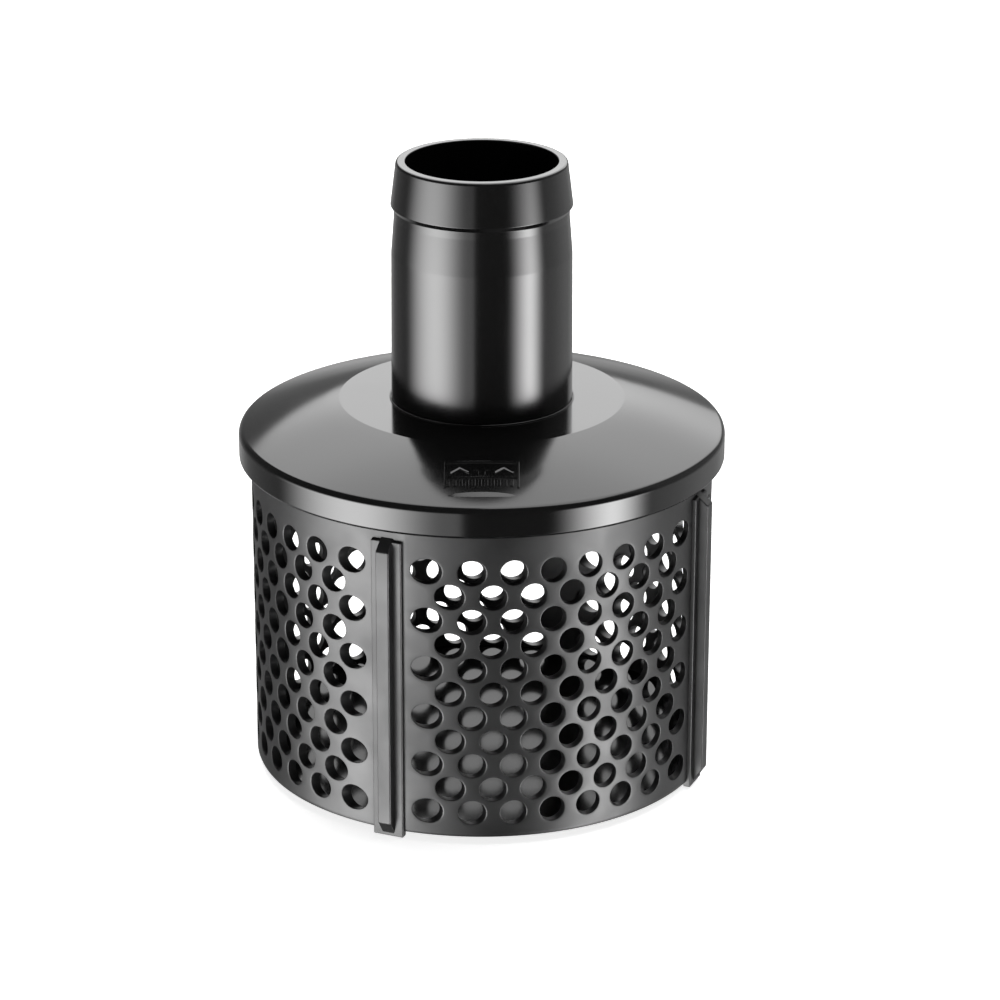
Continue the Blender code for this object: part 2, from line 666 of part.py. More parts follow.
def main():
    clear_scene()
    parts = new_collection("foot_valve")
    helpers = new_collection("cutters", hidden=True)
    basket_plastic = new_material("basket_plastic", (0.055, 0.055, 0.058), 0.42)
    gloss_plastic = new_material("gloss_plastic", (0.02, 0.02, 0.022), 0.18)
    valve_plastic = new_material("valve_plastic", (0.05, 0.05, 0.055), 0.35)
    rubber = new_material("rubber", (0.03, 0.03, 0.03), 0.7)
    steel = new_material("steel", (0.6, 0.6, 0.6), 0.3, 1.0)
    bronze = new_material("bearing_bronze", (0.55, 0.36, 0.18), 0.35, 1.0)

    basket = make_basket(basket_plastic, parts, helpers)
    bush_profile = tube_ring(BUSH_BORE_R, BUSH_R, HUB_BOTTOM, HUB_TOP)
    head = [
        make_cover(gloss_plastic, parts, helpers),
        make_tail(gloss_plastic, parts),
        make_o_ring(rubber, parts),
        make_gasket(rubber, parts),
        make_seat(valve_plastic, parts, helpers),
        turned("guide_bush", bush_profile, bronze, parts, SMALL_SEGMENTS),
        *make_screws(steel, parts, helpers),
    ]
    seal_profile = tube_ring(SEAL_HOLE_R, SEAL_R, SEAL_BOTTOM, SEAL_TOP)
    clamp_profile = tube_ring(STEM_HOLE_R, CLAMP_R, CLAMP_BOTTOM, CLAMP_TOP)
    washer_profile = tube_ring(STEM_HOLE_R, WASHER_R, WASHER_BOTTOM, WASHER_TOP)
    retainer_profile = tube_ring(STEM_HOLE_R, RETAINER_R, RETAINER_BOTTOM, RETAINER_TOP)
    valve = [
        make_disc(valve_plastic, parts),
        turned("seal_ring", seal_profile, rubber, parts, TAIL_SEGMENTS),
        turned("seal_clamp", clamp_profile, steel, parts, TAIL_SEGMENTS),
        make_stem(steel, parts),
        turned("nut_washer", washer_profile, steel, parts, SMALL_SEGMENTS),
        make_nut(steel, parts),
        turned("spring_retainer", retainer_profile, steel, parts, SMALL_SEGMENTS),
        make_clip(steel, parts),
        make_spring(steel, parts),
    ]
    for piece in [basket, *head, *valve]:
        shade(piece)
    head_empty = group_under("head", head, parts)
    valve_empty = group_under("valve", valve, parts)
    valve_empty.parent = head_empty


main()
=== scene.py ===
"""The looks of the foot valve: a perforated strainer basket, a gloss cover with a hose tail, and the
spring-closed lift valve under it. Metres, in the CAD model's own frame: +Z up, the hose tail's axis."""

import math
from itertools import pairwise

import bmesh
import bpy
from mathutils import Matrix, Vector


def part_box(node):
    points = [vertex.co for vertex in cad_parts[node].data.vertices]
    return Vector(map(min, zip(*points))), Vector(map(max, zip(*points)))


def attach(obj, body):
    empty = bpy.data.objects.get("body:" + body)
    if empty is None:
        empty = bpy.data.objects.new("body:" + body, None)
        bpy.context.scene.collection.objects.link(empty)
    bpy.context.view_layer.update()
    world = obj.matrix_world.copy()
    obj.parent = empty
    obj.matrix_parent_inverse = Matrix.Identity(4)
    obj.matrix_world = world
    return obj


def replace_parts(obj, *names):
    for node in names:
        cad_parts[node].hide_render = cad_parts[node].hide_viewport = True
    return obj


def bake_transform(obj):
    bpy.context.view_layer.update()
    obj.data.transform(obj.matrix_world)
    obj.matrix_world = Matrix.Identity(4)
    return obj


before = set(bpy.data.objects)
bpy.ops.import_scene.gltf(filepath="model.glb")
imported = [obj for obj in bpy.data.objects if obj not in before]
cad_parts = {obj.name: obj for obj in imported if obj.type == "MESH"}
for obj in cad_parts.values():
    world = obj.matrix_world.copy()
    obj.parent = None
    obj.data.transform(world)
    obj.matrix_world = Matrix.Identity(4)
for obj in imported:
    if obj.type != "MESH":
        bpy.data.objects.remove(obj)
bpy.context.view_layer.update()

MM = 0.001

# How bright the studio's parts are, as radiance
OVERHEAD_LEVEL = 3.1
BACKDROP_LEVEL = 0.16
HORIZON_LEVEL = 0.25
LEFT_LEVEL = 11.5
LEFT_WING_LEVEL = 1.7
LEFT_ROOM_LEVEL = 0.15
RIGHT_LEVEL = 16.5
RIGHT_ROOM_LEVEL = 0.6
ROOM_LEVEL = 0.10

# Camera, as a long lens from a little above
VIEW_DISTANCE = 1043.7 * MM
VIEW_ELEVATION = math.radians(20.81)
VIEW_HEIGHT = 75.45 * MM
VIEW_LENS = 133.56
VIEW_SHIFT_X = 0.01816

# Strainer basket
FOOT_DROP = 1.5 * MM
BASKET_R = 64.5 * MM
BASKET_WALL = 2.5 * MM
BASKET_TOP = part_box("strainer_basket")[1][2]
FLOOR_BOTTOM = FOOT_DROP + 0.6 * MM
FLOOR_TOP = FLOOR_BOTTOM + 2.5 * MM
FLOOR_FILLET = 0.4 * MM
PANELS = 4
PANEL_ANGLE = 2 * math.pi / PANELS
FIRST_RIB = math.radians(-23)
COLUMNS = 15
COLUMN_STEP = 5.3 * MM
ROWS = 11
ROW_STEP = 7.0 * MM
LOWEST_ROW = FOOT_DROP + 7.5 * MM
HIGHEST_ROW = LOWEST_ROW + (ROWS - 1) * ROW_STEP
HOLE_R = 3.5 * MM
HOLE_FILLET = 0.3 * MM
SLANT_STEPS = 6
UPRIGHT_STEPS = 3
RIM_FILLET = 0.7 * MM
EDGE_FILLET = 0.9 * MM

RIB_R = 68.0 * MM
RIB_WIDTH = 3.8 * MM
RIB_TOP = FOOT_DROP + 82.8 * MM
RIB_TOP_RISE = 3.9 * MM
RIB_CHAMFER = 3.4 * MM
RIB_CHAMFER_HEIGHT = 5.0 * MM
RIB_ROOT_R = BASKET_R - BASKET_WALL / 2
PAD_R = 65.4 * MM
PAD_WIDTH = 8.8 * MM
PAD_TOP = FOOT_DROP + 85.6 * MM
PAD_BOTTOM = 0.2 * MM
RIB_EDGE = 0.35 * MM

# Cover: a flat land round the tail, a slightly domed cone down to the rim, and a skirt
SKIRT_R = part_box("cover")[1][0]
SKIRT_INNER_R = 65.3 * MM
SKIRT_BOTTOM = FOOT_DROP + 88.5 * MM
SKIRT_CHAMFER = 0.8 * MM
COVER_UNDERSIDE = BASKET_TOP + 0.3 * MM
COVER_BORE_R = 22.9 * MM
LAND_R = 39.8 * MM
LAND_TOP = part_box("cover")[1][2]
CONE_FALL_AT_LAND = 0.213
CONE_FALL_AT_RIM = 0.374
RIM_R = 66.4 * MM
RIM_STEPS = 12
HOLLOW_OUTER_R = 61.5 * MM
HOLLOW_INNER_R = 38.5 * MM
HOLLOW_TOP = LAND_TOP - 2.9 * MM
SEAT_RING_R = 36.0 * MM
CHAMBER_R = 27.0 * MM
SEAT_RING_BOTTOM = COVER_UNDERSIDE - 7.3 * MM
LIP_R = 25.45 * MM
LIP_HALF_WIDTH = 0.22 * MM

# The mark moulded on the front of the cone, seen along (across, distance from the axis)
MARK_HALF_WIDTH = 10.0 * MM
MARK_NEAR = 48.0 * MM
MARK_DIVIDE = 55.2 * MM
MARK_FAR = 59.0 * MM
MARK_LINE = 0.5 * MM
MARK_HEIGHT = 0.3 * MM
MARK_BARS = 11
RELIEF_ROOT = 0.15 * MM
RELIEF_EDGE = 0.12 * MM
DENT_HALF_WIDTH = 9.2 * MM
DENT_NEAR = 61.3 * MM
DENT_FAR = 62.7 * MM
DENT_RAMP = 0.8 * MM
DENT_HEIGHT = 0.42 * MM
DENT_SUNK = 0.02 * MM
DENT_STEPS = 16

# Hose tail
TAIL_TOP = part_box("hose_tail")[1][2]
TAIL_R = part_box("hose_tail")[1][0]
TAIL_SHOULDER = LAND_TOP + 0.3 * MM
SPIGOT_R = COVER_BORE_R - 0.3 * MM
SPIGOT_BORE_R = 20.0 * MM
SPIGOT_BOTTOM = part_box("hose_tail")[0][2]
MOUTH_BORE_R = 20.9 * MM
MOUTH_R = 23.5 * MM
BARB_R = 25.0 * MM
BARB_EDGE = TAIL_TOP - 12.1 * MM
GROOVE_R = 24.1 * MM
GROOVE_TOP = TAIL_TOP - 13.4 * MM
GROOVE_BOTTOM = TAIL_TOP - 15.5 * MM
WAIST_R = 24.9 * MM
WAIST = TAIL_TOP - 25.8 * MM
O_RING_R = 22.1 * MM
O_RING_CORD_R = 0.65 * MM
O_RING_HEIGHT = FOOT_DROP + 100.5 * MM

# Valve
STEM_HOLE_R = 3.1 * MM
BUSH_BORE_R = 3.0 * MM
SEAL_HOLE_R = 14.6 * MM
DISC_THICK = 3.0 * MM
DISC_CHAMFER = 1.5 * MM
DISC_SPIGOT_R = 14.2 * MM
RECESS_INNER_R = 8.3 * MM
RECESS_OUTER_R = 15.7 * MM
RECESS_DEPTH = 0.6 * MM
STEM_R = 2.8 * MM
STEM_CHAMFER = 0.4 * MM
STEM_SHOULDER_R = 4.6 * MM
STEM_SHOULDER_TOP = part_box("seal_clamp")[0][2] - 0.3 * MM
STEM_SHOULDER_HEIGHT = 1.5 * MM
CLIP_GROOVE_R = 2.1 * MM
CLIP_GROOVE_PLAY = 0.1 * MM

# Return spring
SPRING_WIRE_R = 0.45 * MM
SPRING_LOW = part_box("return_spring")[0][2]
SPRING_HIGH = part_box("return_spring")[1][2]
SPRING_LOW_R = 3.9 * MM
SPRING_HIGH_R = 7.0 * MM
SPRING_TURNS = 3.5
SPRING_STEPS_PER_TURN = 36
WIRE_SIDES = 12

FINE = 160
MEDIUM = 72
SHARP_ANGLE = math.radians(40)


# ---------------------------------------------------------------- helpers


def finish_mesh(name, shape, material, body, weighted=True):
    """Makes the object of a bmesh, shaded smooth with sharp edges, and gives it its body, if it has
    only one."""
    bmesh.ops.recalc_face_normals(shape, faces=shape.faces)
    mesh = bpy.data.meshes.new(name)
    shape.to_mesh(mesh)
    shape.free()
    mesh.materials.append(material)
    mesh.shade_smooth()
    mesh.set_sharp_from_angle(angle=SHARP_ANGLE)
    obj = bpy.data.objects.new(name, mesh)
    bpy.context.scene.collection.objects.link(obj)
    if weighted:
        normals = obj.modifiers.new("Weighted normals", "WEIGHTED_NORMAL")
        normals.keep_sharp = True
    if body:
        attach(obj, body)
    return obj


def arc(centre, radius, start, end, steps):
    """Points on an arc of (radius, height), angles in degrees from the outward direction."""
    angles = [math.radians(start + (end - start) * i / steps) for i in range(steps + 1)]
    return [(centre[0] + radius * math.cos(a), centre[1] + radius * math.sin(a)) for a in angles]


def rounded(corners, steps=4):
    """A closed (radius, height, fillet) outline with each corner turned into an arc of its fillet."""
    outline = []
    for i, (radius, height, fillet) in enumerate(corners):
        here = Vector((radius, height))
        before = Vector(corners[i - 1][:2]) - here
        after = Vector(corners[(i + 1) % len(corners)][:2]) - here
        if not fillet:
            outline.append(tuple(here))
            continue
        half = before.angle(after) / 2
        reach = min(fillet / math.tan(half), before.length * 0.48, after.length * 0.48)
        start, end = here + before.normalized() * reach, here + after.normalized() * reach
        for step in range(steps + 1):
            part = step / steps
            near = start.lerp(here, part)
            outline.append(tuple(near.lerp(here.lerp(end, part), part)))
    return outline


def lathe(name, outline, material, body, segments=FINE):
    """A closed (radius, height) outline turned about Z."""
    shape = bmesh.new()
    rings = []
    for radius, height in outline:
        turns = [2 * math.pi * i / segments for i in range(segments)]
        rings.append(
            [shape.verts.new((radius * math.cos(a), radius * math.sin(a), height)) for a in turns]
        )
    for first, second in zip(rings, rings[1:] + rings[:1]):
        for i in range(segments):
            after = (i + 1) % segments
            shape.faces.new((first[i], first[after], second[after], second[i]))
    bmesh.ops.remove_doubles(shape, verts=shape.verts, dist=1e-7)
    return finish_mesh(name, shape, material, body)


# ---------------------------------------------------------------- materials


def new_material(name):
    material = bpy.data.materials.new(name)
    material.use_nodes = True
    nodes, links = material.node_tree.nodes, material.node_tree.links
    return material, nodes, links, nodes["Principled BSDF"]


def noise(nodes, links, scale, detail, coordinates):
    texture = nodes.new("ShaderNodeTexNoise")
    texture.inputs["Scale"].default_value = scale
    texture.inputs["Detail"].default_value = detail
    links.new(coordinates, texture.inputs["Vector"])
    return texture.outputs["Fac"]


def spread(nodes, links, value, low, high):
    """A value of 0 to 1 mapped to low to high, steepened about its middle."""
    mapped = nodes.new("ShaderNodeMapRange")
    mapped.inputs["From Min"].default_value = 0.3
    mapped.inputs["From Max"].default_value = 0.7
    mapped.inputs["To Min"].default_value = low
    mapped.inputs["To Max"].default_value = high
    links.new(value, mapped.inputs["Value"])
    return mapped.outputs["Result"]


def moulded_plastic(name, dark, light, rough_low, rough_high, patch_scale, grain_scale, grain):
    """Black plastic: patches of tone and gloss from the mould, and a fine grain in the surface."""
    material, nodes, links, shader = new_material(name)
    place = nodes.new("ShaderNodeTexCoord").outputs["Object"]
    patches = noise(nodes, links, patch_scale, 4.0, place)
    tone = nodes.new("ShaderNodeMix")
    tone.data_type = "RGBA"
    tone.inputs["A"].default_value = (dark, dark, dark * 1.02, 1.0)
    tone.inputs["B"].default_value = (light, light, light * 1.02, 1.0)
    links.new(spread(nodes, links, patches, 0.0, 1.0), tone.inputs["Factor"])
    links.new(tone.outputs["Result"], shader.inputs["Base Color"])
    gloss = spread(nodes, links, noise(nodes, links, patch_scale * 1.7, 3.0, place), rough_low, rough_high)
    links.new(gloss, shader.inputs["Roughness"])
    bump = nodes.new("ShaderNodeBump")
    bump.inputs["Strength"].default_value = grain
    bump.inputs["Distance"].default_value = 0.02 * MM
    links.new(noise(nodes, links, grain_scale, 3.0, place), bump.inputs["Height"])
    links.new(bump.outputs["Normal"], shader.inputs["Normal"])
    return material


def turned_metal(name, colour, roughness):
    """Metal with the fine rings that turning leaves about the axis."""
    material, nodes, links, shader = new_material(name)
    place = nodes.new("ShaderNodeTexCoord").outputs["Object"]
    shader.inputs["Metallic"].default_value = 1.0
    patches = noise(nodes, links, 220.0, 3.0, place)
    tone = nodes.new("ShaderNodeMix")
    tone.data_type = "RGBA"
    tone.inputs["A"].default_value = (*(c * 0.8 for c in colour), 1.0)
    tone.inputs["B"].default_value = (*colour, 1.0)
    links.new(spread(nodes, links, patches, 0.0, 1.0), tone.inputs["Factor"])
    links.new(tone.outputs["Result"], shader.inputs["Base Color"])
    links.new(
        spread(nodes, links, patches, roughness * 0.8, roughness * 1.25), shader.inputs["Roughness"]
    )
    rings = nodes.new("ShaderNodeTexWave")
    rings.wave_type = "RINGS"
    rings.rings_direction = "Z"
    rings.inputs["Scale"].default_value = 900.0
    rings.inputs["Distortion"].default_value = 1.5
    links.new(place, rings.inputs["Vector"])
    bump = nodes.new("ShaderNodeBump")
    bump.inputs["Strength"].default_value = 0.15
    bump.inputs["Distance"].default_value = 0.01 * MM
    links.new(rings.outputs["Fac"], bump.inputs["Height"])
    links.new(bump.outputs["Normal"], shader.inputs["Normal"])
    return material


BASKET_PLASTIC = moulded_plastic("satin basket plastic", 0.010, 0.024, 0.34, 0.48, 45.0, 900.0, 0.25)
FLOOR_PLASTIC = moulded_plastic("smooth basket floor", 0.005, 0.010, 0.06, 0.10, 35.0, 300.0, 0.10)
FLOOR_PLASTIC.node_tree.nodes["Principled BSDF"].inputs["Specular IOR Level"].default_value = 0.12
COVER_PLASTIC = moulded_plastic("gloss cover plastic", 0.003, 0.005, 0.10, 0.14, 25.0, 260.0, 0.05)
TAIL_PLASTIC = moulded_plastic("gloss tail plastic", 0.003, 0.006, 0.15, 0.19, 25.0, 260.0, 0.05)
VALVE_PLASTIC = moulded_plastic("satin valve plastic", 0.035, 0.055, 0.30, 0.40, 60.0, 1200.0, 0.3)
RUBBER = moulded_plastic("seal rubber", 0.02, 0.035, 0.55, 0.75, 60.0, 2500.0, 0.6)
STEEL = turned_metal("turned stainless steel", (0.62, 0.61, 0.60), 0.26)
BRONZE = turned_metal("bush bronze", (0.60, 0.40, 0.20), 0.34)


# ---------------------------------------------------------------- strainer basket

# Each hole sits in a six-sided cell of the staggered pattern, whose corners lie on the lines down
# the middles of the hole columns. Places on a panel are (step, across, depth, height): step 1 is the
# next panel, across is metres sideways from the panel's middle, depth is 0 outside and 1 inside.
CELL_TIP = (COLUMN_STEP**2 + ROW_STEP**2) / (2 * ROW_STEP)
CELL_SHOULDER = (ROW_STEP**2 - COLUMN_STEP**2) / (2 * ROW_STEP)
FIELD_HALF = (COLUMNS + 1) / 2 * COLUMN_STEP
FIELD_TOP = HIGHEST_ROW + CELL_TIP + 1.5 * MM
FIELD_BOTTOM = LOWEST_ROW - CELL_TIP - 0.6 * MM
FILLET_DEPTH = HOLE_FILLET / BASKET_WALL
FILLET_SHOULDER = 1 - math.sqrt(0.5)
HOLE_RINGS = [
    (HOLE_R + HOLE_FILLET, 0.0),
    (HOLE_R + HOLE_FILLET * FILLET_SHOULDER, FILLET_DEPTH * FILLET_SHOULDER),
    (HOLE_R, FILLET_DEPTH),
    (HOLE_R, 1 - FILLET_DEPTH),
    (HOLE_R + HOLE_FILLET * FILLET_SHOULDER, 1 - FILLET_DEPTH * FILLET_SHOULDER),
    (HOLE_R + HOLE_FILLET, 1.0),
]


def wall_point(panel, across, depth, height):
    """Holes run parallel to their panel's middle, so a place keeps its distance across through the wall."""
    middle = FIRST_RIB + (panel + 0.5) * PANEL_ANGLE
    outer, inner = (
        Vector((radius * math.sin(angle), -radius * math.cos(angle), height))
        for radius in (BASKET_R, BASKET_R - BASKET_WALL)
        for angle in (middle + math.asin(across / radius),)
    )
    return outer.lerp(inner, depth)


def divided(corners):
    """The points along a run of cell sides, a slanted side in more steps than an upright one."""
    points = []
    for (x1, z1), (x2, z2) in pairwise(corners):
        steps = UPRIGHT_STEPS if abs(x1 - x2) < 1e-9 else SLANT_STEPS
        points += [(x1 + (x2 - x1) * i / steps, z1 + (z2 - z1) * i / steps) for i in range(steps)]
    return [*points, corners[-1]]


def cell_faces(across, height):
    """One hole with rounded edges, from its cell's outline outside through to the one inside."""
    corners = [
        (0.0, CELL_TIP),
        (COLUMN_STEP, CELL_SHOULDER),
        (COLUMN_STEP, -CELL_SHOULDER),
        (0.0, -CELL_TIP),
        (-COLUMN_STEP, -CELL_SHOULDER),
        (-COLUMN_STEP, CELL_SHOULDER),
        (0.0, CELL_TIP),
    ]

    def path(x, z):
        angle = math.atan2(z, x)
        through = [
            (0, across + r * math.cos(angle), depth, height + r * math.sin(angle))
            for r, depth in HOLE_RINGS
        ]
        return [(0, across + x, 0.0, height + z), *through, (0, across + x, 1.0, height + z)]

    for first, second in pairwise([path(x, z) for x, z in divided(corners)]):
        for (a, b), (c, d) in zip(pairwise(first), pairwise(second)):
            yield a, b, d, c


def skin_faces(points, across=None, height=None):
    """The plain strip from a run of points straight to a line, on both sides of the wall."""
    for (x1, z1), (x2, z2) in pairwise(points):
        far1 = (x1 if across is None else across, z1 if height is None else height)
        far2 = (x2 if across is None else across, z2 if height is None else height)
        for depth in (0.0, 1.0):
            yield tuple((0, x, depth, z) for x, z in ((x1, z1), (x2, z2), far2, far1))


def column_across(column):
    return (column - (COLUMNS + 1) / 2) * COLUMN_STEP


def edge_run(height, tip, shoulder):
    """The zigzag along the field's top or bottom, over the odd columns."""
    corners = [(-FIELD_HALF, height + shoulder)]
    for column in range(1, COLUMNS + 1, 2):
        corners += [(column_across(column), height + tip), (column_across(column + 1), height + shoulder)]
    return divided(corners)


def side_runs(side):
    """The notches down one side of the field, between the holes of its last column."""
    across = side * (FIELD_HALF - COLUMN_STEP)
    for row in range(0, ROWS - 1, 2):
        low = LOWEST_ROW + row * ROW_STEP
        high = low + 2 * ROW_STEP
        yield divided([
            (side * FIELD_HALF, low + CELL_SHOULDER),
            (across, low + CELL_TIP),
            (across, high - CELL_TIP),
            (side * FIELD_HALF, high - CELL_SHOULDER),
        ])


def side_heights():
    """Every height at which the field's side has a point."""
    heights = {FIELD_BOTTOM, FIELD_TOP}
    for run in side_runs(1):
        heights |= {round(z, 7) for _, z in run}
    for row in range(0, ROWS, 2):
        middle = LOWEST_ROW + row * ROW_STEP
        upright = divided([(0.0, middle - CELL_SHOULDER), (0.0, middle + CELL_SHOULDER)])
        heights |= {round(z, 7) for _, z in upright}
    return sorted(heights)


def rim_profile():
    """(depth, height) over the basket's top rim, from the field's top outside to inside."""
    part = RIM_FILLET / BASKET_WALL
    bend = part * FILLET_SHOULDER
    drop = RIM_FILLET * FILLET_SHOULDER
    return [
        (0.0, FIELD_TOP), (0.0, BASKET_TOP - RIM_FILLET), (bend, BASKET_TOP - drop),
        (part, BASKET_TOP), (1 - part, BASKET_TOP), (1 - bend, BASKET_TOP - drop),
        (1.0, BASKET_TOP - RIM_FILLET), (1.0, FIELD_TOP),
    ]


def foot_profile():
    """(depth, height) under the basket's lower edge, from the field's bottom outside to inside."""
    part = EDGE_FILLET / BASKET_WALL
    bend = part * FILLET_SHOULDER
    rise = EDGE_FILLET * FILLET_SHOULDER
    return [
        (0.0, FIELD_BOTTOM), (0.0, FOOT_DROP + EDGE_FILLET), (bend, FOOT_DROP + rise),
        (part, FOOT_DROP), (1 - part, FOOT_DROP), (1 - bend, FOOT_DROP + rise),
        (1.0, FOOT_DROP + EDGE_FILLET), (1.0, FIELD_BOTTOM),
    ]


def panel_faces():
    """All faces of one panel and of the plain strip between it and the next one."""
    for column in range(1, COLUMNS + 1):
        for row in range((column + 1) % 2, ROWS, 2):
            yield from cell_faces(column_across(column), LOWEST_ROW + row * ROW_STEP)
    top = edge_run(HIGHEST_ROW, CELL_TIP, CELL_SHOULDER)
    bottom = edge_run(LOWEST_ROW, -CELL_TIP, -CELL_SHOULDER)
    yield from skin_faces(top, height=FIELD_TOP)
    yield from skin_faces(bottom, height=FIELD_BOTTOM)
    for side in (-1, 1):
        for run in side_runs(side):
            yield from skin_faces(run, across=side * FIELD_HALF)
    for low, high in pairwise(side_heights()):
        for depth in (0.0, 1.0):
            yield (
                (0, FIELD_HALF, depth, low), (0, FIELD_HALF, depth, high),
                (1, -FIELD_HALF, depth, high), (1, -FIELD_HALF, depth, low),
            )
    places = [(0, x) for x, _ in top] + [(1, -FIELD_HALF)]
    for profile in (rim_profile(), foot_profile()):
        for (step1, x1), (step2, x2) in pairwise(places):
            for (d1, z1), (d2, z2) in pairwise(profile):
                yield (step1, x1, d1, z1), (step1, x1, d2, z2), (step2, x2, d2, z2), (step2, x2, d1, z1)


def make_wall():
    shape = bmesh.new()
    faces = list(panel_faces())
    for panel in range(PANELS):
        for face in faces:
            corners = [wall_point(panel + step, x, d, z) for step, x, d, z in face]
            shape.faces.new([shape.verts.new(corner) for corner in corners])
    bmesh.ops.remove_doubles(shape, verts=shape.verts, dist=3e-6)
    wall = finish_mesh("strainer_wall", shape, BASKET_PLASTIC, "strainer")
    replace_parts(wall, "strainer_basket")
    return wall


def make_floor():
    """The basket's floor, smoother than the wall, so that it mirrors the far wall's holes."""
    inside = BASKET_R - BASKET_WALL + 0.1 * MM
    profile = [
        (0.0, FLOOR_TOP),
        *arc((inside - FLOOR_FILLET, FLOOR_TOP + FLOOR_FILLET), FLOOR_FILLET, -90, 0, 4),
        (RIB_ROOT_R, FLOOR_TOP + FLOOR_FILLET),
        (RIB_ROOT_R, FLOOR_BOTTOM),
        (0.0, FLOOR_BOTTOM),
    ]
    return lathe("strainer_floor", profile, FLOOR_PLASTIC, "strainer")


def prism(shape, outline, half_width):
    """A side outline of (outward, up) points made into a solid, half_width each way sideways."""
    sides = [
        [shape.verts.new((outward, sign * half_width, up)) for outward, up in outline]
        for sign in (-1, 1)
    ]
    shape.faces.new(sides[0])
    shape.faces.new(sides[1][::-1])
    for i in range(len(outline)):
        j = (i + 1) % len(outline)
        shape.faces.new((sides[0][i], sides[0][j], sides[1][j], sides[1][i]))


def make_rib(number, angle):
    """A rib on its flat pad, both rooted in the wall, with rounded edges."""
    shape = bmesh.new()
    rib = [
        (RIB_ROOT_R, 0.0),
        (RIB_R - RIB_CHAMFER, 0.0),
        (RIB_R, RIB_CHAMFER_HEIGHT),
        (RIB_R, RIB_TOP),
        (RIB_ROOT_R, RIB_TOP + RIB_TOP_RISE),
    ]
    pad = [
        (RIB_ROOT_R, PAD_BOTTOM),
        (PAD_R, PAD_BOTTOM),
        (PAD_R, PAD_TOP - 0.5 * MM),
        (RIB_ROOT_R, PAD_TOP),
    ]
    prism(shape, rib, RIB_WIDTH / 2)
    prism(shape, pad, PAD_WIDTH / 2)
    bmesh.ops.rotate(shape, verts=shape.verts, matrix=Matrix.Rotation(angle - math.pi / 2, 3, "Z"))
    name = f"strainer_rib_{number}"
    obj = finish_mesh(name, shape, BASKET_PLASTIC, "strainer", weighted=False)
    bevel = obj.modifiers.new("Rounded edges", "BEVEL")
    bevel.width = RIB_EDGE
    bevel.segments = 3
    bevel.limit_method = "ANGLE"
    bevel.harden_normals = True
    return obj


# ---------------------------------------------------------------- cover and tail


def cone_height(radius):
    """The height of the cone at a radius. It falls a little faster towards the rim."""
    out = radius - LAND_R
    quickening = (CONE_FALL_AT_RIM - CONE_FALL_AT_LAND) / (RIM_R - LAND_R)
    return LAND_TOP - CONE_FALL_AT_LAND * out - quickening * out**2 / 2


def rim_arc():
    """The arc that leads from the cone's end, without a break, into the upright skirt."""
    slope = math.atan(CONE_FALL_AT_RIM)
    radius = (SKIRT_R - RIM_R) / (1 - math.sin(slope))
    middle = (SKIRT_R - radius, cone_height(RIM_R) - radius * math.cos(slope))
    return arc(middle, radius, 90 - math.degrees(slope), 0, RIM_STEPS)


def make_cover():
    cone = [LAND_R + (RIM_R - LAND_R) * i / RIM_STEPS for i in range(1, RIM_STEPS)]
    inside = rounded([
        (SKIRT_R, SKIRT_BOTTOM + 3.5 * MM, 0.0),
        (SKIRT_R, SKIRT_BOTTOM + SKIRT_CHAMFER, 0.3 * MM),
        (SKIRT_R - SKIRT_CHAMFER * 0.8, SKIRT_BOTTOM, 0.3 * MM),
        (SKIRT_INNER_R, SKIRT_BOTTOM, 0.4 * MM),
        (SKIRT_INNER_R, COVER_UNDERSIDE, 0.6 * MM),
        (HOLLOW_OUTER_R, COVER_UNDERSIDE, 0.6 * MM),
        (HOLLOW_INNER_R, HOLLOW_TOP, 0.6 * MM),
        (SEAT_RING_R, HOLLOW_TOP, 0.8 * MM),
        (SEAT_RING_R, SEAT_RING_BOTTOM, 0.3 * MM),
        (CHAMBER_R, SEAT_RING_BOTTOM, 0.3 * MM),
        (CHAMBER_R, COVER_UNDERSIDE, 0.6 * MM),
        (COVER_BORE_R, COVER_UNDERSIDE, 0.3 * MM),
        (COVER_BORE_R, LAND_TOP, 0.15 * MM),
        (LAND_R - 1.0 * MM, LAND_TOP, 0.0),
    ], steps=5)
    land_edge = arc((LAND_R - 0.3 * MM, LAND_TOP - 1.5 * MM), 1.5 * MM, 90, 78, 3)
    cone_line = [(radius, cone_height(radius)) for radius in cone]
    outline = [*inside, *land_edge, *cone_line, *rim_arc()]
    cover = lathe("cover_shell", outline, COVER_PLASTIC, "head", segments=256)
    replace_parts(cover, "cover")
    lip = arc((LIP_R, LAND_TOP + 0.1 * MM), LIP_HALF_WIDTH, 0, 360, 12)[:-1]
    lathe("cover_lip", lip, COVER_PLASTIC, "head", segments=256)


def on_cone(across, away, height):
    """A point over the front of the cone."""
    return Vector((across, -away, cone_height(math.hypot(across, away)) + height))


def inset(outline, amount):
    """The (across, away) outline drawn inwards by an amount, for an outline of either sense."""
    area = sum(a[0] * b[1] - b[0] * a[1] for a, b in zip(outline, outline[1:] + outline[:1]))
    sense = math.copysign(1.0, area)
    result = []
    for i, point in enumerate(outline):
        here = Vector(point)
        before = (here - Vector(outline[i - 1])).normalized()
        after = (Vector(outline[(i + 1) % len(outline)]) - here).normalized()
        first = Vector((-before.y, before.x)) * sense
        second = Vector((-after.y, after.x)) * sense
        both = first + second
        result.append(tuple(here + both * (amount / (1 + first.dot(second)))))
    return result


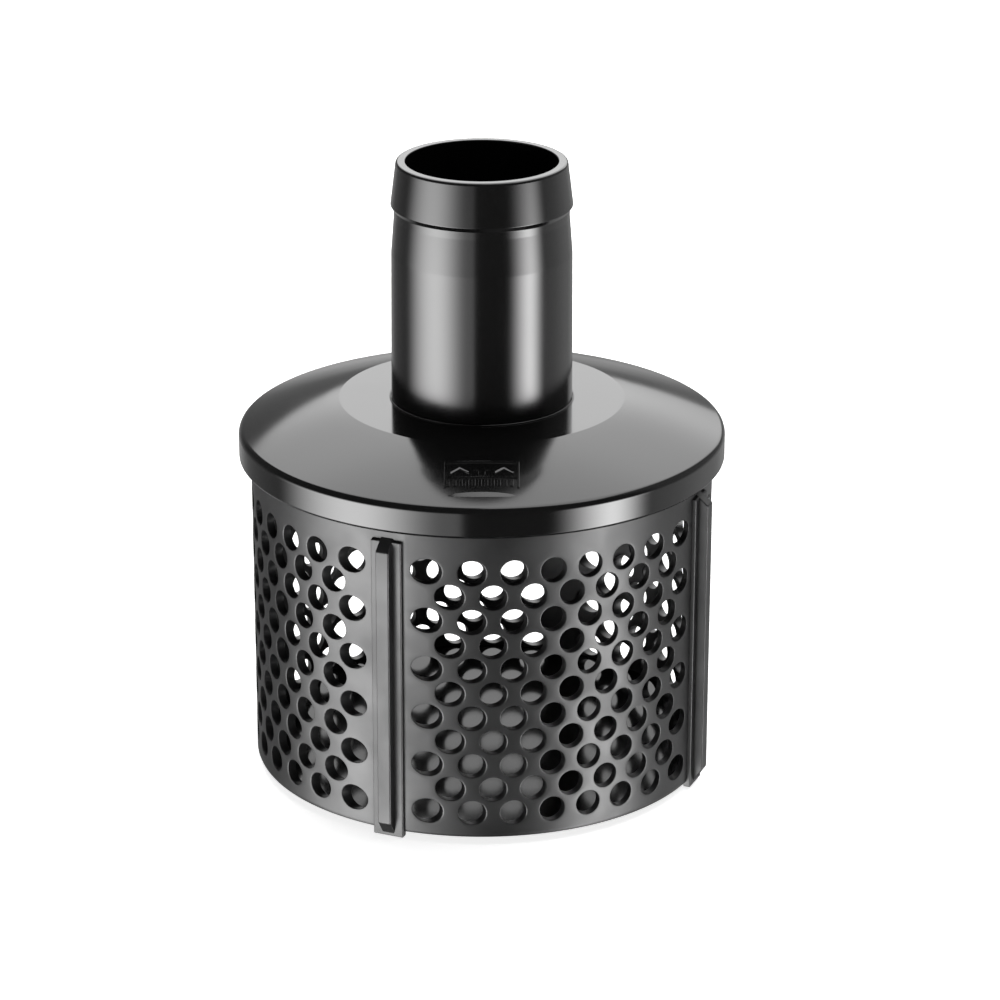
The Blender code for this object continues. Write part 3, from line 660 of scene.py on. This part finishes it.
def relief(shape, outline, height):
    """A raised patch on the cone, with sloping edges and its foot sunk in the surface."""
    levels = [(outline, -RELIEF_ROOT), (outline, height * 0.35), (inset(outline, RELIEF_EDGE), height)]
    rings = [[shape.verts.new(on_cone(u, v, rise)) for u, v in points] for points, rise in levels]
    for low, high in pairwise(rings):
        for i in range(len(outline)):
            j = (i + 1) % len(outline)
            shape.faces.new((low[i], low[j], high[j], high[i]))
    shape.faces.new(rings[-1])
    shape.faces.new(rings[0][::-1])


def bar(shape, left, right, near, far, height=MARK_HEIGHT):
    """A straight bar of the mark, with points along it so that it follows the cone."""
    steps = max(1, round((right - left) / (1.5 * MM)))
    near_side = [(left + (right - left) * i / steps, near) for i in range(steps + 1)]
    relief(shape, near_side + [(across, far) for across, _ in reversed(near_side)], height)


def make_mark():
    """A frame with a plain flow arrow between two chevrons, and a row of plain bars under it."""
    shape = bmesh.new()
    half, line = MARK_HALF_WIDTH, MARK_LINE
    bar(shape, -half, -half + line, MARK_NEAR, MARK_FAR)
    bar(shape, half - line * 1.4, half, MARK_NEAR, MARK_FAR)
    bar(shape, -half + line, half - line * 1.4, MARK_NEAR, MARK_NEAR + line)
    bar(shape, -half + line, half - line * 1.4, MARK_DIVIDE - line, MARK_DIVIDE)
    middle = (MARK_NEAR + MARK_DIVIDE) / 2
    arrow = [(0.0, -2.6), (2.4, 0.2), (0.9, 0.2), (0.9, 2.4), (-0.9, 2.4), (-0.9, 0.2), (-2.4, 0.2)]
    relief(shape, [(u * MM, middle + v * MM) for u, v in arrow], MARK_HEIGHT * 0.8)
    chevron = [(0.0, -1.6), (2.5, 0.6), (2.5, 1.9), (0.0, -0.3), (-2.5, 1.9), (-2.5, 0.6)]
    for side in (-1, 1):
        points = [(side * 5.9 * MM + u * MM, middle + v * MM) for u, v in chevron]
        relief(shape, points, MARK_HEIGHT * 0.6)
    pitch = (2 * half - 3 * line) / MARK_BARS
    for i in range(MARK_BARS):
        left = -half + 1.3 * line + i * pitch
        bar(shape, left, left + pitch * 0.55, MARK_DIVIDE + 0.6 * MM, MARK_FAR - 0.4 * MM)
    finish_mesh("cover_mark", shape, COVER_PLASTIC, "head", weighted=False)


def make_dent():
    """The lens-shaped thumb step between the mark and the rim: raised behind, steep in front."""
    shape = bmesh.new()
    middle = (DENT_NEAR + DENT_FAR) / 2
    ridge, near, far = [], [], []
    for i in range(DENT_STEPS + 1):
        across = DENT_HALF_WIDTH * (2 * i / DENT_STEPS - 1)
        swell = math.sqrt(1 - (across / DENT_HALF_WIDTH) ** 2)
        half = (DENT_FAR - DENT_NEAR) / 2 * swell
        near.append(shape.verts.new(on_cone(across, middle - half - DENT_RAMP * swell, -DENT_SUNK)))
        ridge.append(shape.verts.new(on_cone(across, middle - half, DENT_HEIGHT * swell)))
        far.append(shape.verts.new(on_cone(across, middle + half, -DENT_SUNK)))
    for low, high in ((near, ridge), (ridge, far), (far, near)):
        for i in range(DENT_STEPS):
            shape.faces.new((low[i], low[i + 1], high[i + 1], high[i]))
    bmesh.ops.remove_doubles(shape, verts=shape.verts, dist=1e-7)
    finish_mesh("cover_thumb_step", shape, COVER_PLASTIC, "head", weighted=False)


def make_tail():
    corners = [
        (MOUTH_BORE_R, TAIL_TOP, 0.35 * MM),
        (MOUTH_R, TAIL_TOP, 0.9 * MM),
        (BARB_R, BARB_EDGE, 0.3 * MM),
        (GROOVE_R, GROOVE_TOP, 0.4 * MM),
        (GROOVE_R, GROOVE_BOTTOM, 1.5 * MM),
        (WAIST_R, WAIST, 1.0 * MM),
        (TAIL_R, TAIL_SHOULDER, 0.2 * MM),
        (SPIGOT_R, TAIL_SHOULDER, 0.15 * MM),
        (SPIGOT_R, SPIGOT_BOTTOM, 0.3 * MM),
        (SPIGOT_BORE_R, SPIGOT_BOTTOM, 0.3 * MM),
    ]
    outline = rounded(corners, steps=6)
    tail = lathe("hose_tail_shell", outline, TAIL_PLASTIC, "head", segments=192)
    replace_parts(tail, "hose_tail")
    return tail


# ---------------------------------------------------------------- valve and seals


def make_ring(node, inner, fillet, material, body):
    """A plain ring with rounded edges, of the CAD ring's height and outer radius."""
    (_, _, bottom), (outer, _, top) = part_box(node)
    corners = [(inner, bottom), (outer, bottom), (outer, top), (inner, top)]
    outline = rounded([(radius, height, fillet) for radius, height in corners])
    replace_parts(lathe(node + "_fine", outline, material, body, MEDIUM), node)


def make_rings():
    make_ring("seal_ring", SEAL_HOLE_R, 0.25 * MM, RUBBER, "valve")
    make_ring("seal_clamp", STEM_HOLE_R, 0.2 * MM, STEEL, "valve")
    make_ring("nut_washer", STEM_HOLE_R, 0.12 * MM, STEEL, "valve")
    make_ring("spring_retainer", STEM_HOLE_R, 0.12 * MM, STEEL, "valve")
    make_ring("guide_bush", BUSH_BORE_R, 0.12 * MM, BRONZE, "head")
    cord = arc((O_RING_R, O_RING_HEIGHT), O_RING_CORD_R, 0, 360, 16)[:-1]
    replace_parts(lathe("tail_o_ring_fine", cord, RUBBER, "head", MEDIUM), "tail_o_ring")


def make_disc():
    """The lifting disc, with a shallow moulded recess in its top."""
    (_, _, bottom), (edge, _, top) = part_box("valve_disc")
    seal = top - DISC_THICK
    outline = rounded([
        (STEM_HOLE_R, bottom, 0.1 * MM),
        (DISC_SPIGOT_R, bottom, 0.2 * MM),
        (DISC_SPIGOT_R, seal, 0.1 * MM),
        (edge, seal, 0.15 * MM),
        (edge, top - DISC_CHAMFER, 0.3 * MM),
        (edge - DISC_CHAMFER, top, 0.5 * MM),
        (RECESS_OUTER_R + RECESS_DEPTH / 2, top, 0.2 * MM),
        (RECESS_OUTER_R - RECESS_DEPTH / 2, top - RECESS_DEPTH, 0.2 * MM),
        (RECESS_INNER_R + RECESS_DEPTH / 2, top - RECESS_DEPTH, 0.2 * MM),
        (RECESS_INNER_R - RECESS_DEPTH / 2, top, 0.2 * MM),
        (STEM_HOLE_R, top, 0.1 * MM),
    ])
    disc = lathe("valve_disc_fine", outline, VALVE_PLASTIC, "valve", MEDIUM)
    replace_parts(disc, "valve_disc")


def make_stem():
    """The stem, with its shoulder, its clip groove and a lead-in at its top."""
    bottom, top = (corner[2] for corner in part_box("valve_stem"))
    clip_bottom, clip_top = (corner[2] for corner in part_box("retaining_clip"))
    shoulder_bottom = STEM_SHOULDER_TOP - STEM_SHOULDER_HEIGHT
    outline = rounded([
        (0.0, bottom, 0.0),
        (STEM_R, bottom, 0.15 * MM),
        (STEM_R, clip_bottom - CLIP_GROOVE_PLAY, 0.05 * MM),
        (CLIP_GROOVE_R, clip_bottom - CLIP_GROOVE_PLAY, 0.05 * MM),
        (CLIP_GROOVE_R, clip_top + CLIP_GROOVE_PLAY, 0.05 * MM),
        (STEM_R, clip_top + CLIP_GROOVE_PLAY, 0.05 * MM),
        (STEM_R, shoulder_bottom, 0.1 * MM),
        (STEM_SHOULDER_R, shoulder_bottom, 0.15 * MM),
        (STEM_SHOULDER_R, STEM_SHOULDER_TOP, 0.15 * MM),
        (STEM_R, STEM_SHOULDER_TOP, 0.1 * MM),
        (STEM_R, top - STEM_CHAMFER, 0.1 * MM),
        (STEM_R - STEM_CHAMFER, top, 0.1 * MM),
        (0.0, top, 0.0),
    ], steps=3)
    stem = lathe("valve_stem_fine", outline, STEEL, "valve", MEDIUM)
    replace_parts(stem, "valve_stem")


def make_spring():
    """The conical spring, wider at its top under the hub than at its foot."""
    shape = bmesh.new()
    low, high = SPRING_LOW + SPRING_WIRE_R, SPRING_HIGH - SPRING_WIRE_R
    steps = round(SPRING_TURNS * SPRING_STEPS_PER_TURN)
    turns = [2 * math.pi * k / WIRE_SIDES for k in range(WIRE_SIDES)]
    up = Vector((0.0, 0.0, 1.0))
    rings = []
    for i in range(steps + 1):
        part = i / steps
        angle = 2 * math.pi * SPRING_TURNS * part
        out = Vector((math.cos(angle), math.sin(angle), 0.0))
        radius = SPRING_LOW_R + (SPRING_HIGH_R - SPRING_LOW_R) * part
        centre = out * radius + up * (low + (high - low) * part)
        around = [out * math.cos(t) + up * math.sin(t) for t in turns]
        rings.append([shape.verts.new(centre + side * SPRING_WIRE_R) for side in around])
    for first, second in pairwise(rings):
        for k in range(WIRE_SIDES):
            after = (k + 1) % WIRE_SIDES
            shape.faces.new((first[k], first[after], second[after], second[k]))
    shape.faces.new(rings[0])
    shape.faces.new(rings[-1])
    spring = finish_mesh("return_spring_fine", shape, STEEL, None, weighted=False)
    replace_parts(spring, "return_spring")
    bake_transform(spring)


def finish_cad_nodes():
    """The CAD pieces whose shapes are right get their finished materials."""
    finishes = {"valve_seat": VALVE_PLASTIC, "seat_gasket": RUBBER, "stem_nut": STEEL}
    finishes |= {"retaining_clip": STEEL} | {f"seat_screw_{i}": STEEL for i in range(1, 5)}
    for node, material in finishes.items():
        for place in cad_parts[node].material_slots:
            place.material = material


# ---------------------------------------------------------------- light, floor and camera


def aim(obj, target):
    obj.rotation_mode = "QUATERNION"
    obj.rotation_quaternion = (target - obj.location).to_track_quat("-Z", "Y")


class Sky:
    """The studio as the object sees it, built from soft-edged bright regions of directions.

    front is the azimuth from the camera's side and back the one from behind the object, both positive
    to the right. up is the elevation, and over the angle from behind, over the top, to the front."""

    def __init__(self, tree):
        self.tree = tree
        direction = tree.nodes.new("ShaderNodeTexCoord").outputs["Generated"]
        split = tree.nodes.new("ShaderNodeSeparateXYZ")
        tree.links.new(direction, split.inputs["Vector"])
        x, y, z = (split.outputs[axis] for axis in "XYZ")
        self.front = self.degrees(self.calc("ARCTAN2", x, self.calc("MULTIPLY", y, -1.0)))
        self.back = self.degrees(self.calc("ARCTAN2", x, y))
        self.up = self.degrees(self.calc("ARCSINE", z))
        self.over = self.degrees(self.calc("ARCTAN2", z, y))
        self.side = x

    def calc(self, operation, *values):
        node = self.tree.nodes.new("ShaderNodeMath")
        node.operation = operation
        for socket, value in zip(node.inputs, values):
            if isinstance(value, float):
                socket.default_value = value
            else:
                self.tree.links.new(value, socket)
        return node.outputs["Value"]

    def degrees(self, value):
        return self.calc("DEGREES", value)

    def edge(self, value, dark, bright):
        """0 up to dark and 1 from bright on, or the other way round if bright is the lower."""
        node = self.tree.nodes.new("ShaderNodeMapRange")
        node.interpolation_type = "SMOOTHSTEP"
        node.inputs["From Min"].default_value = dark
        node.inputs["From Max"].default_value = bright
        self.tree.links.new(value, node.inputs["Value"])
        return node.outputs["Result"]

    def window(self, level, *edges):
        result = self.calc("MULTIPLY", edges[0], level)
        for edge in edges[1:]:
            result = self.calc("MULTIPLY", result, edge)
        return result

    def total(self, values):
        result = values[0]
        for value in values[1:]:
            result = self.calc("ADD", result, value)
        return result


def overhead_light(sky):
    """The large soft box overhead and behind, dimmer low down and along its middle."""
    lower_edge = sky.calc("MAXIMUM", sky.calc("MULTIPLY_ADD", sky.back, -1.02, 3.3), 8.0)
    above_edge = sky.edge(sky.calc("SUBTRACT", sky.up, lower_edge), -1.0, 1.0)
    aside = sky.edge(sky.calc("ABSOLUTE", sky.back), 3.0, 17.0)
    low_down = sky.edge(sky.up, 45.0, 25.0)
    dimming = sky.calc("MULTIPLY", low_down, sky.calc("MULTIPLY_ADD", aside, 0.11, 0.19))
    rising = sky.calc("MULTIPLY_ADD", sky.edge(sky.up, 6.0, 20.0), 0.45, 0.55)
    return sky.window(
        OVERHEAD_LEVEL, sky.calc("SUBTRACT", 1.0, dimming), rising, above_edge,
        sky.edge(sky.over, 106.0, 96.0), sky.edge(sky.calc("ABSOLUTE", sky.side), 0.62, 0.5),
    )


def back_lights(sky):
    """The dim backdrop behind the object, and the brighter strip where it meets the floor."""
    backdrop = sky.window(BACKDROP_LEVEL, sky.edge(sky.calc("ABSOLUTE", sky.back), 40.0, 20.0))
    horizon = sky.window(
        HORIZON_LEVEL, sky.edge(sky.calc("ABSOLUTE", sky.back), 12.0, 4.0),
        sky.edge(sky.up, 5.0, 0.0), sky.edge(sky.up, -14.0, -6.0),
    )
    return [backdrop, horizon]


def left_lights(sky, foot):
    """The left soft box, its dimmer wing towards the camera, and the room beyond it."""
    top = sky.calc("MULTIPLY", foot, sky.edge(sky.up, 8.0, -12.0))
    core = sky.window(
        LEFT_LEVEL, sky.edge(sky.front, -112.0, -62.0), sky.edge(sky.front, -17.0, -60.0), top
    )
    wing = sky.window(
        LEFT_WING_LEVEL, sky.edge(sky.front, -100.0, -40.0), sky.edge(sky.front, -8.0, -11.0), top
    )
    room = sky.window(LEFT_ROOM_LEVEL, sky.edge(sky.front, -100.0, -112.0), top)
    return [core, wing, room]


def right_lights(sky, foot):
    """The right soft box, and the room beyond it."""
    top = sky.calc("MULTIPLY", foot, sky.edge(sky.up, 2.0, -14.0))
    core = sky.window(
        RIGHT_LEVEL, sky.edge(sky.front, 32.0, 66.0), sky.edge(sky.front, 87.0, 61.0), top
    )
    room = sky.window(
        RIGHT_ROOM_LEVEL, sky.edge(sky.front, 76.0, 92.0), sky.edge(sky.front, 180.0, 112.0),
        sky.calc("MULTIPLY_ADD", top, 0.6, 0.4),
    )
    return [core, room]


def make_world():
    """White to the eye. The object sees soft boxes left, right and over it, and a dim room."""
    world = bpy.data.worlds.new("studio")
    bpy.context.scene.world = world
    world.use_nodes = True
    tree = world.node_tree
    sky = Sky(tree)
    foot = sky.edge(sky.up, -60.0, -42.0)
    lights = [overhead_light(sky), *back_lights(sky), *left_lights(sky, foot), *right_lights(sky, foot)]
    room = sky.calc("ADD", sky.total(lights), ROOM_LEVEL)
    seen = tree.nodes.new("ShaderNodeLightPath").outputs["Is Camera Ray"]
    unseen = sky.calc("SUBTRACT", 1.0, seen)
    strength = sky.calc("ADD", sky.calc("MULTIPLY", room, unseen), seen)
    background = tree.nodes["Background"]
    background.inputs["Color"].default_value = (1.0, 1.0, 1.0, 1.0)
    tree.links.new(strength, background.inputs["Strength"])


def make_stage():
    bpy.ops.mesh.primitive_plane_add(size=30.0, location=(0.0, 0.0, -0.0005))
    floor = bpy.context.object
    floor.name = "stage_floor"
    material, _, _, shader = new_material("pale floor")
    shader.inputs["Base Color"].default_value = (0.9, 0.9, 0.9, 1.0)
    shader.inputs["Roughness"].default_value = 0.9
    shader.inputs["Emission Color"].default_value = (1.0, 1.0, 1.0, 1.0)
    shader.inputs["Emission Strength"].default_value = 0.8
    floor.data.materials.append(material)
    floor.visible_glossy = False


def make_camera():
    camera = bpy.data.objects.new("camera", bpy.data.cameras.new("camera"))
    camera.data.lens = VIEW_LENS
    camera.data.sensor_width = 36.0
    camera.data.shift_x = VIEW_SHIFT_X
    back = Vector((0.0, -math.cos(VIEW_ELEVATION), math.sin(VIEW_ELEVATION)))
    target = Vector((0.0, 0.0, VIEW_HEIGHT))
    camera.location = target + back * VIEW_DISTANCE
    aim(camera, target)
    bpy.context.scene.collection.objects.link(camera)
    bpy.context.scene.camera = camera


def main():
    bpy.context.scene.view_settings.view_transform = "Standard"
    make_camera()
    make_world()
    make_stage()
    make_wall()
    make_floor()
    for number in range(PANELS):
        make_rib(number + 1, FIRST_RIB + number * PANEL_ANGLE)
    make_cover()
    make_mark()
    make_dent()
    make_tail()
    make_rings()
    make_disc()
    make_stem()
    make_spring()
    finish_cad_nodes()


main()
